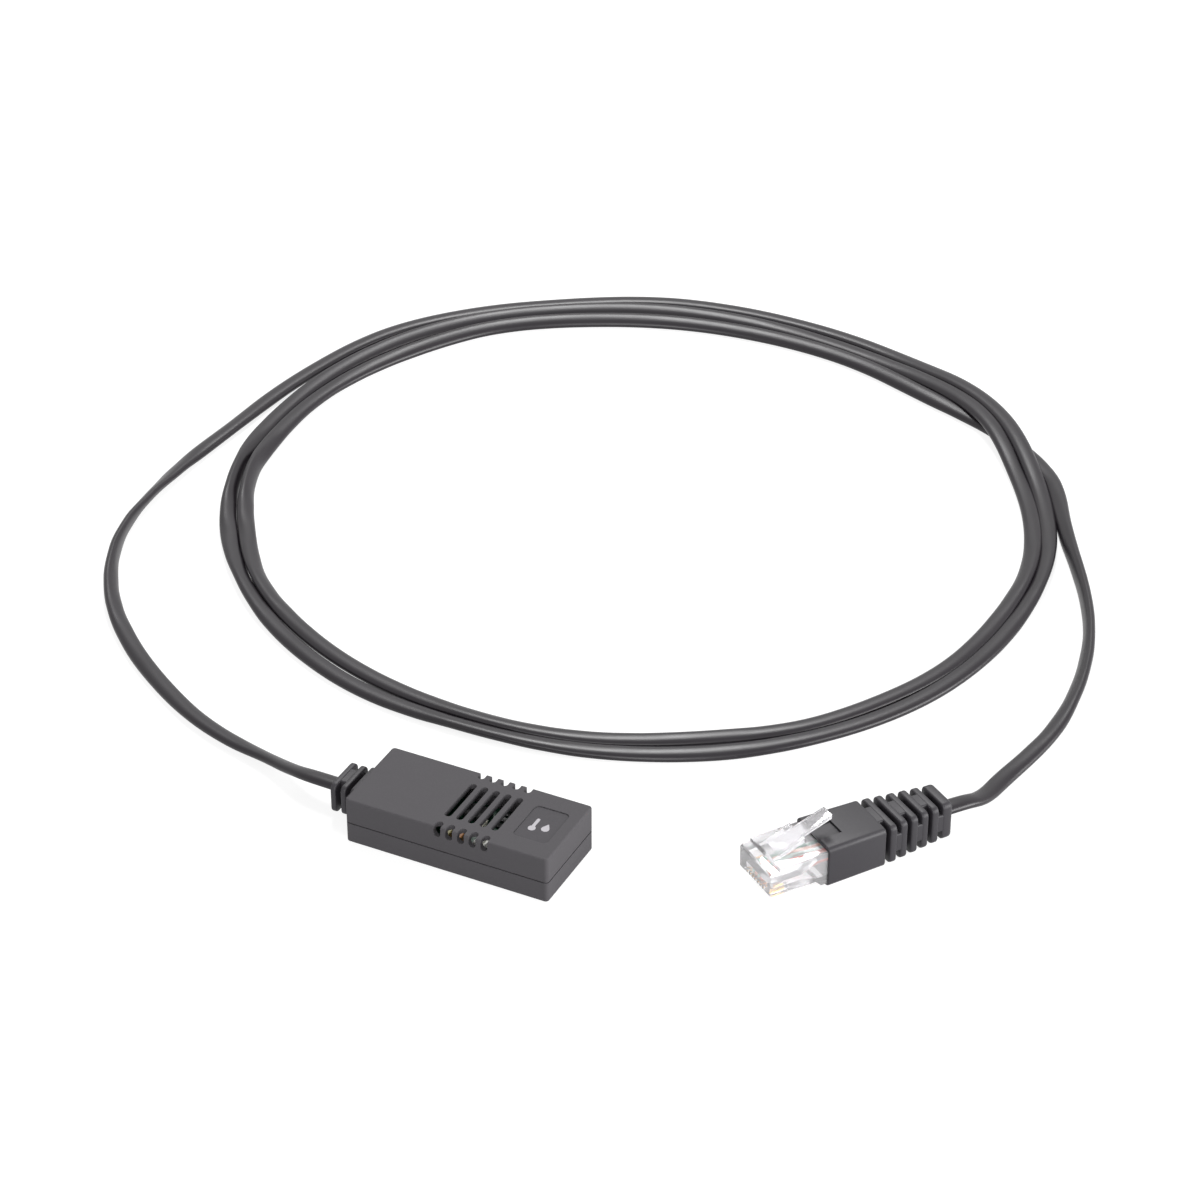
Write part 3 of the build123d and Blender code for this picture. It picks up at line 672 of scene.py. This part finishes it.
    def centreline(self) -> tuple[list[Vector], list[float]]:
        """Runs one smooth spline through the whole route.

        Returns:
            Its points in metres and the cord's roll at each, in radians.
        """
        route = [*self.from_housing, *self.coil(), *self.to_plug]
        data = bpy.data.curves.new("cord_line", "CURVE")
        data.dimensions = "3D"
        spline = data.splines.new("NURBS")
        spline.points.add(len(route) - 1)
        for point, stop in zip(spline.points, route):
            point.co = (stop.x * MM, stop.y * MM, self.height(stop) * MM, 1.0)
        spline.order_u = self.order
        spline.use_endpoint_u = True
        spline.resolution_u = self.fineness
        carrier = bpy.data.objects.new("cord_line", data)
        mesh = bpy.data.meshes.new_from_object(carrier)
        line = [v.co.copy() for v in mesh.vertices]
        bpy.data.objects.remove(carrier)
        bpy.data.curves.remove(data)
        bpy.data.meshes.remove(mesh)
        rolls = []
        last = len(route) - 1
        for i in range(len(line)):
            # The line passes control point k about k - 0.5 spans from its start
            place = i / (len(line) - 1) * (last - 1) + 0.5
            low = min(int(place), last - 1)
            share = min(place - low, 1.0)
            # Eased, so that the roll turns smoothly through each point
            share = share * share * (3 - 2 * share)
            rolls.append(math.radians(route[low].roll * (1 - share) + route[low + 1].roll * share))
        return line, rolls

    def section(self) -> list[tuple[float, float]]:
        """Lists the points round the section: an oval with fuller shoulders than an ellipse.

        Returns:
            Points as distances across and up, in metres.
        """
        points = []
        for i in range(self.sides):
            turn = 2 * math.pi * (i + 0.5) / self.sides
            across = math.copysign(abs(math.cos(turn)) ** (2 / self.fullness), math.cos(turn))
            up = math.copysign(abs(math.sin(turn)) ** (2 / self.fullness), math.sin(turn))
            points.append((across * self.width / 2 * MM, up * self.thickness / 2 * MM))
        return points

    def build(self, ends: list[bpy.types.Object]) -> None:
        """Args:
            ends: The pieces that sit on the cord; not used.
        """
        line, rolls = self.centreline()
        outline = self.section()
        around = [0.0]
        for a, b in zip(outline, outline[1:] + outline[:1]):
            around.append(around[-1] + math.dist(a, b))
        shape = bmesh.new()
        lay = shape.loops.layers.uv.new("lay")
        rings, along, length = [], [], 0.0
        for i, (point, roll) in enumerate(zip(line, rolls)):
            if i:
                length += (point - line[i - 1]).length
            heading = (line[min(i + 1, len(line) - 1)] - line[max(i - 1, 0)]).normalized()
            side = Vector((0, 0, 1)).cross(heading).normalized()
            up = heading.cross(side)
            across = side * math.cos(roll) + up * math.sin(roll)
            over = up * math.cos(roll) - side * math.sin(roll)
            rings.append([shape.verts.new(point + across * x + over * y) for x, y in outline])
            along.append(length)
        for i in range(len(rings) - 1):
            for j in range(self.sides):
                k = (j + 1) % self.sides
                face = shape.faces.new((rings[i][j], rings[i][k], rings[i + 1][k], rings[i + 1][j]))
                face.smooth = True
                spots = ((i, j), (i, j + 1), (i + 1, j + 1), (i + 1, j))
                for loop, (a, b) in zip(face.loops, spots):
                    loop[lay].uv = (along[a], around[b])
        shape.faces.new(rings[0])
        shape.faces.new(rings[-1][::-1])
        bmesh.ops.recalc_face_normals(shape, faces=shape.faces)
        mesh = bpy.data.meshes.new("flat_cord")
        shape.to_mesh(mesh)
        shape.free()
        cord = bpy.data.objects.new("flat_cord", mesh)
        bpy.context.scene.collection.objects.link(cord)
        dress(cord, Finish.JACKET)
        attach(cord, "root")
        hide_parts("sensor_tail", "cord_coil", "plug_tail", "plug_cord_end")
        LOG.info("flat_cord: %.3f m long", length)


def select_edges(piece: bpy.types.Object, wanted: Callable[[Vector, Vector], bool]) -> None:
    """Selects in edit mode only the edges whose two ends a test takes.

    Args:
        piece: The piece in edit mode.
        wanted: A test of an edge's two ends.
    """
    shape = bmesh.from_edit_mesh(piece.data)
    for item in (*shape.verts, *shape.edges, *shape.faces):
        item.select = False
    for edge in shape.edges:
        if wanted(edge.verts[0].co, edge.verts[1].co):
            edge.select_set(True)
    bmesh.update_edit_mesh(piece.data)


def make_active(piece: bpy.types.Object) -> None:
    """Selects one piece alone and makes it active.

    Args:
        piece: The piece.
    """
    bpy.ops.object.select_all(action="DESELECT")
    piece.select_set(True)
    bpy.context.view_layer.objects.active = piece


def combine(piece: bpy.types.Object, tool: bpy.types.Object, operation: str) -> None:
    """Cuts a tool from a piece or unites the two, and takes the tool away.

    Args:
        piece: The piece that stays.
        tool: The other piece.
        operation: DIFFERENCE or UNION.
    """
    make_active(piece)
    step = piece.modifiers.new(operation.lower(), "BOOLEAN")
    step.operation = operation
    step.solver = "EXACT"
    step.object = tool
    bpy.ops.object.modifier_apply(modifier=step.name)
    bpy.data.objects.remove(tool)


def join(pieces: list[bpy.types.Object], name: str) -> bpy.types.Object:
    """Joins pieces into one.

    Args:
        pieces: The pieces, of which the first takes in the rest.
        name: The name of the piece that they make.

    Returns:
        That piece.
    """
    make_active(pieces[0])
    for piece in pieces:
        piece.select_set(True)
    bpy.ops.object.join()
    joined = bpy.context.object
    joined.name = joined.data.name = name
    return joined


def settled() -> bpy.types.Object:
    """Puts the selected piece's place, turn and scale into its mesh, and gives the piece."""
    bpy.ops.object.transform_apply(location=True, rotation=True, scale=True)
    return bpy.context.object


@dataclass(frozen=True)
class Block:
    """A rounded block of a moulding, lengthwise along X, in millimetres.

    Attributes:
        start: Where it starts along X.
        length: Its length along X.
        width: Its width along Y.
        tall: Its height along Z.
        middle: Height of its middle.
        corner: Radius of its four lengthwise corners.
        edge: Radius of the rim of its front end.
        rear_edge: Radius of the rim of its rear end.
        rear: Width and height of its rear end, where they differ.
        steps: Steps round a lengthwise corner.
        rim_steps: Steps round a rim.
    """

    start: float
    length: float
    width: float
    tall: float
    middle: float
    corner: float
    edge: float = 0.0
    rear_edge: float = 0.0
    rear: tuple[float, float] | None = None
    steps: int = 6
    rim_steps: int = 4

    def build(self) -> bpy.types.Object:
        """Builds the block.

        Returns:
            The block.
        """
        first, last = self.start * MM, (self.start + self.length) * MM
        bpy.ops.mesh.primitive_cube_add(
            size=1.0,
            location=((first + last) / 2, 0.0, self.middle * MM),
            scale=(self.length * MM, self.width * MM, self.tall * MM),
        )
        block = settled()
        bpy.ops.object.mode_set(mode="EDIT")
        bpy.ops.mesh.select_mode(type="EDGE")
        hair = HAIR * MM
        if self.rear:
            select_edges(block, lambda a, b: min(a.x, b.x) > last - hair)
            bpy.ops.transform.resize(
                value=(1.0, self.rear[0] / self.width, self.rear[1] / self.tall),
                center_override=(last, 0.0, (self.middle - self.tall / 2) * MM),
            )
        select_edges(block, lambda a, b: abs(a.x - b.x) > hair)
        bpy.ops.mesh.bevel(offset=self.corner * MM, segments=self.steps, affect="EDGES")
        for place, radius in ((first, self.edge), (last, self.rear_edge)):
            if radius:
                select_edges(block, lambda a, b: max(abs(a.x - place), abs(b.x - place)) < hair)
                bpy.ops.mesh.bevel(offset=radius * MM, segments=self.rim_steps, affect="EDGES")
        bpy.ops.object.mode_set(mode="OBJECT")
        return block


@dataclass
class SlottedMoulding:
    """A soft moulding of rings with webs between them, bored for the cord.

    Attributes:
        name: The piece's name.
        replaced: The CAD node that it replaces.
        part_slot: The part's slot for it; not used.
        finish: Its finish.
        origin: Where its line starts, in millimetres.
        angle: Where its line points, in degrees from +X.
        bore_run: Where the hole for the cord starts, and its length.
        bore: Size of that hole.
        cord_height: Height of the cord's middle.
        smooth: Angle in degrees up to which its faces are shaded as one.
    """

    name: str
    replaced: str
    part_slot: str
    finish: Finish
    origin: tuple[float, float, float]
    angle: float
    bore_run: tuple[float, float]
    bore: tuple[float, float] = (4.2, 2.3)
    cord_height: float = 0.0
    smooth: float = 40.0

    def blocks(self) -> list[Block]:
        """Lists the blocks that it is made of."""
        raise NotImplementedError

    def hollows(self) -> list[Block]:
        """Lists the hollows in it: here only the hole for the cord."""
        return [Block(*self.bore_run, *self.bore, self.cord_height, self.bore[1] / 2 - HAIR)]

    def build(self) -> bpy.types.Object:
        """Builds each block with its hollows, joins them and puts the piece in its place.

        Returns:
            The piece.
        """
        pieces = []
        for block in self.blocks():
            piece = block.build()
            for hollow in self.hollows():
                if hollow.start < block.start + block.length and block.start < hollow.start + hollow.length:
                    combine(piece, hollow.build(), "DIFFERENCE")
            pieces.append(piece)
        joined = join(pieces, self.name)
        joined.rotation_euler = (0.0, 0.0, math.radians(self.angle))
        joined.location = [c * MM for c in self.origin]
        settled()
        bpy.ops.object.shade_smooth_by_angle(angle=math.radians(self.smooth))
        dress(joined, self.finish)
        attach(joined, "root")
        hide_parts(self.replaced)
        LOG.info("%s: %d blocks", self.name, len(pieces))
        return joined


@dataclass
class StrainRelief(SlottedMoulding):
    """The cross-slotted strain relief on the housing, whose line runs out of the end wall, in millimetres.

    Attributes:
        wall: Thickness of the end wall, from which it starts.
        boss: Length and size of the boss on the wall.
        ring: Length and size of each of the two rings.
        gap: Gap between one ring and the next.
        corner: Radius of the rings' corners.
        edge: Radius of their rims.
        hidden_edge: Radius of the rims that lie against the wall.
        webs: Sizes of the webs in the two gaps.
        neck: Size of the neck through the wall.
        web_corner: Radius of the webs' and the neck's corners.
        flange: Length and size of the flange inside the wall.
        flange_corner: Radius of the flange's corners.
    """

    name: str = "strain_relief"
    replaced: str = "cord_grommet"
    part_slot: str = "moulded_strain_relief"
    finish: Finish = Finish.STRAIN_RELIEF
    origin: tuple[float, float, float] = (-23.0, 0.0, 4.95)
    angle: float = 180.0
    bore_run: tuple[float, float] = (-4.0, 14.0)
    wall: float = 1.3
    boss: tuple[float, float, float] = (1.9, 10.0, 7.4)
    ring: tuple[float, float, float] = (1.3, 9.6, 7.0)
    gap: float = 1.05
    corner: float = 1.3
    edge: float = 0.35
    hidden_edge: float = 0.1
    webs: tuple[tuple[float, float], ...] = ((9.3, 3.1), (4.7, 6.7))
    neck: tuple[float, float] = (6.3, 4.4)
    web_corner: float = 0.3
    flange: tuple[float, float, float] = (1.0, 8.0, 6.1)
    flange_corner: float = 0.8

    def blocks(self) -> list[Block]:
        """Lists the boss, the rings, the webs, the neck and the flange.

        Returns:
            The blocks.
        """
        first = self.boss[0] + self.gap
        second = first + self.ring[0] + self.gap
        blocks = [Block(0.0, *self.boss, 0.0, self.corner, self.hidden_edge, self.edge)]
        for start in (first, second):
            blocks.append(Block(start, *self.ring, 0.0, self.corner, self.edge, self.edge))
        for start, size in zip((first - self.gap, second - self.gap), self.webs):
            blocks.append(Block(start - self.edge, self.gap + 2 * self.edge, *size, 0.0, self.web_corner))
        blocks.append(Block(-self.wall, self.wall + self.edge, *self.neck, 0.0, self.web_corner))
        hidden = self.hidden_edge
        blocks.append(Block(-self.wall - self.flange[0], *self.flange, 0.0, self.flange_corner, hidden, hidden))
        return blocks


@dataclass
class PlugBoot(SlottedMoulding):
    """The ribbed boot over the plug's rear half, along the plug from its front face, in millimetres.

    Attributes:
        start: Where its sleeve starts.
        plain: Length of the sleeve.
        front: Width and height of the sleeve's front.
        rear: Width and height of its rear.
        corner: Radius of the sleeve's corners.
        edges: Radii of the rims of its front and its rear.
        ribs: How many ribs there are.
        pitch: Distance from rib to rib.
        thick: Thickness of a rib.
        first_rib: Width and height of the first rib.
        last_rib: Width and height of the last rib.
        cap: How much thicker the last rib is.
        rib_corner: Radius of the ribs' corners.
        rib_edge: Radius of their rims.
        cap_edge: Radius of the rim of the end.
        slot_share: Share of a rib that the web in a slot leaves.
        flush: How far a web lies under the ribs' outside.
        web_corner: Radius of the webs' corners.
        plug_room: The hollow for the plug.
        latch_room: The recess under the latch.
    """

    name: str = "ribbed_boot"
    replaced: str = "plug_boot"
    part_slot: str = "boot_rubber"
    finish: Finish = Finish.BOOT
    origin: tuple[float, float, float] = (58.0, 12.0, 0.0)
    angle: float = 55.0
    bore_run: tuple[float, float] = (21.3, 30.0)
    cord_height: float = 4.4
    start: float = 13.4
    plain: float = 13.7
    front: tuple[float, float] = (12.7, 9.5)
    rear: tuple[float, float] = (12.0, 9.3)
    corner: float = 1.1
    edges: tuple[float, float] = (0.25, 0.35)
    ribs: int = 6
    pitch: float = 2.7
    thick: float = 1.6
    first_rib: tuple[float, float] = (11.75, 9.2)
    last_rib: tuple[float, float] = (8.4, 8.8)
    cap: float = 0.9
    rib_corner: float = 1.2
    rib_edge: float = 0.42
    cap_edge: float = 0.9
    slot_share: float = 0.48
    flush: float = 0.08
    web_corner: float = 0.4
    plug_room: Block = Block(12.0, 9.5, 11.78, 7.8, 4.65, 0.15)
    latch_room: Block = Block(12.0, 6.7, 4.7, 1.2, 9.5, 0.3)

    def blocks(self) -> list[Block]:
        """Lists the sleeve, the ribs and the webs between them.

        Returns:
            The blocks.
        """
        blocks = [
            Block(self.start, self.plain, *self.front, self.front[1] / 2, self.corner, *self.edges, self.rear)
        ]
        for i in range(self.ribs):
            share = i / (self.ribs - 1)
            width = self.first_rib[0] * (1 - share) + self.last_rib[0] * share
            tall = self.first_rib[1] * (1 - share) + self.last_rib[1] * share
            rib_start = self.start + self.plain + self.pitch * (i + 1) - self.thick
            last = i == self.ribs - 1
            length = self.thick + (self.cap if last else 0.0)
            edges = (self.rib_edge, self.cap_edge if last else self.rib_edge)
            blocks.append(Block(rib_start, length, width, tall, tall / 2, self.rib_corner, *edges))
            gap = self.pitch - self.thick
            size = [width - 2 * self.flush, tall - 2 * self.flush]
            size[i % 2] *= self.slot_share
            web_start = rib_start - gap - self.rib_edge
            blocks.append(Block(web_start, gap + 2 * self.rib_edge, *size, tall / 2, self.web_corner))
        return blocks

    def hollows(self) -> list[Block]:
        """Lists the hollow for the plug, the recess under the latch and the hole for the cord."""
        return [self.plug_room, self.latch_room, *super().hollows()]


@dataclass
class ClearPlug:
    """The clear plug, a copy of its CAD mesh with its edges rounded as a mould leaves them.

    Attributes:
        edge: Radius of the edges in millimetres.
        steps: Steps round an edge.
        sharp: Angle in degrees from which an edge is rounded.
        smooth: Angle in degrees up to which its faces are shaded as one.
        merged: Distance in millimetres within which the mesh's loose corners are one.
        level: Angle in degrees within which its triangles are one face.
    """

    edge: float = 0.12
    steps: int = 3
    sharp: float = 25.0
    smooth: float = 30.0
    merged: float = 0.005
    level: float = 1.0

    def build(self) -> bpy.types.Object:
        """Builds the plug.

        Returns:
            The plug.
        """
        make_active(NODES["plug_body"])
        bpy.ops.object.duplicate()
        plug = bpy.context.object
        plug.name = plug.data.name = "clear_plug_moulding"
        bpy.ops.object.mode_set(mode="EDIT")
        bpy.ops.mesh.select_all(action="SELECT")
        bpy.ops.mesh.remove_doubles(threshold=self.merged * MM)
        bpy.ops.mesh.dissolve_limited(angle_limit=math.radians(self.level))
        bpy.ops.object.mode_set(mode="OBJECT")
        rounding = plug.modifiers.new("rounding", "BEVEL")
        rounding.width = self.edge * MM
        rounding.segments = self.steps
        rounding.limit_method = "ANGLE"
        rounding.angle_limit = math.radians(self.sharp)
        bpy.ops.object.modifier_apply(modifier=rounding.name)
        bpy.ops.object.shade_smooth_by_angle(angle=math.radians(self.smooth))
        dress(plug, Finish.CLEAR)
        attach(plug, "root")
        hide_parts("plug_body")
        LOG.info("%s: edges of %.2f mm", plug.name, self.edge)
        return plug


@dataclass
class LabelPrint:
    """A printed sign on the label: a thermometer beside a drop, in millimetres.

    Attributes:
        middle: Place of the sign on the label.
        top: Height of the label's top.
        ink: Thickness of the print.
        bulb: Radius of the thermometer's bulb.
        stem: Length and width of its stem.
        drop: Radius of the drop.
        apart: Distance of each from the sign's middle.
        sides: Sides of a round.
        tip_share: Share of the stem's width that the rounding of its tip has.
        tip_steps: Steps round that.
    """

    middle: tuple[float, float] = (16.5, 0.0)
    top: float = 10.4
    ink: float = 0.03
    bulb: float = 0.8
    stem: tuple[float, float] = (3.4, 0.7)
    drop: float = 0.85
    apart: float = 1.3
    sides: int = 32
    tip_share: float = 0.49
    tip_steps: int = 6

    def disc(self, place: tuple[float, float], radius: float, sides: int) -> bpy.types.Object:
        """Adds a disc of print, or a triangle where it has three sides.

        Args:
            place: Its middle on the label.
            radius: Its radius.
            sides: How many sides it has.

        Returns:
            The disc.
        """
        bpy.ops.mesh.primitive_cylinder_add(
            vertices=sides,
            radius=radius * MM,
            depth=self.ink * MM,
            location=(place[0] * MM, place[1] * MM, (self.top + self.ink / 2) * MM),
        )
        return settled()

    def build(self) -> None:
        """Builds the sign."""
        x, y = self.middle
        thermometer = self.disc((x - self.apart, y - self.stem[0] / 2), self.bulb, self.sides)
        bpy.ops.mesh.primitive_cube_add(
            size=1.0,
            location=((x - self.apart) * MM, y * MM, (self.top + self.ink / 2) * MM),
            scale=(self.stem[1] * MM, self.stem[0] * MM, self.ink * MM),
        )
        stem = settled()
        bpy.ops.object.mode_set(mode="EDIT")
        bpy.ops.mesh.select_mode(type="EDGE")
        select_edges(stem, lambda a, b: abs(a.z - b.z) > self.ink * MM / 2 and a.y > y * MM)
        bpy.ops.mesh.bevel(offset=self.stem[1] * MM * self.tip_share, segments=self.tip_steps, affect="EDGES")
        bpy.ops.object.mode_set(mode="OBJECT")
        combine(thermometer, stem, "UNION")
        drop = self.disc((x + self.apart, y - self.drop), self.drop, self.sides)
        combine(drop, self.disc((x + self.apart, y), self.drop, 3), "UNION")
        sign = join([thermometer, drop], "label_sign")
        dress(sign, Finish.LABEL_PRINT)
        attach(sign, "root")
        LOG.info("label_sign: %.1f mm apart", 2 * self.apart)


@dataclass
class Dressing:
    """The CAD pieces that are shown as they are.

    Attributes:
        finishes: The finish of each, by the name of its node.
    """

    finishes: dict[str, Finish] = field(
        default_factory=lambda: {
            "upper_shell": Finish.HOUSING,
            "lower_shell": Finish.HOUSING,
            "label": Finish.LABEL,
            "circuit_board": Finish.SOLDER_MASK,
            "humidity_element": Finish.WHITE_CAP,
            "thermistor": Finish.BEAD,
            "tantalum_capacitor": Finish.TANTALUM,
            "film_capacitor": Finish.FILM_CASE,
            "controller_chip": Finish.CHIP,
            "chip_resistors": Finish.CERAMIC_BLACK,
            "chip_capacitors": Finish.CERAMIC_TAN,
            "solder_joints": Finish.TIN,
            **{f"plug_contact_{i}": Finish.GOLD for i in range(1, 9)},
            **{
                f"{end}_wire_{colour.name.lower()}": colour
                for end in ("board", "plug")
                for colour in (Finish.GREEN, Finish.ORANGE, Finish.PALE_GREEN, Finish.RED_ORANGE)
            },
        }
    )

    def build(self) -> None:
        """Dresses each CAD piece."""
        for node, finish in self.finishes.items():
            dress(NODES[node], finish)
            LOG.info("%s: %s", node, finish.value.name)


def main() -> None:
    """Builds the camera, the cord, the other pieces and the studio."""
    logging.basicConfig(level=logging.INFO, format="%(name)s %(message)s")
    bpy.context.scene.view_settings.view_transform = "Standard"
    Photographer().build()
    Dressing().build()
    LabelPrint().build()
    ends = [StrainRelief().build(), PlugBoot().build(), ClearPlug().build()]
    ends += [NODES[n] for n in NODES if n.startswith(("plug_contact_", "plug_wire_"))]
    FlatCord().build(ends)
    Studio().build()


if __name__ == "__main__":
    main()
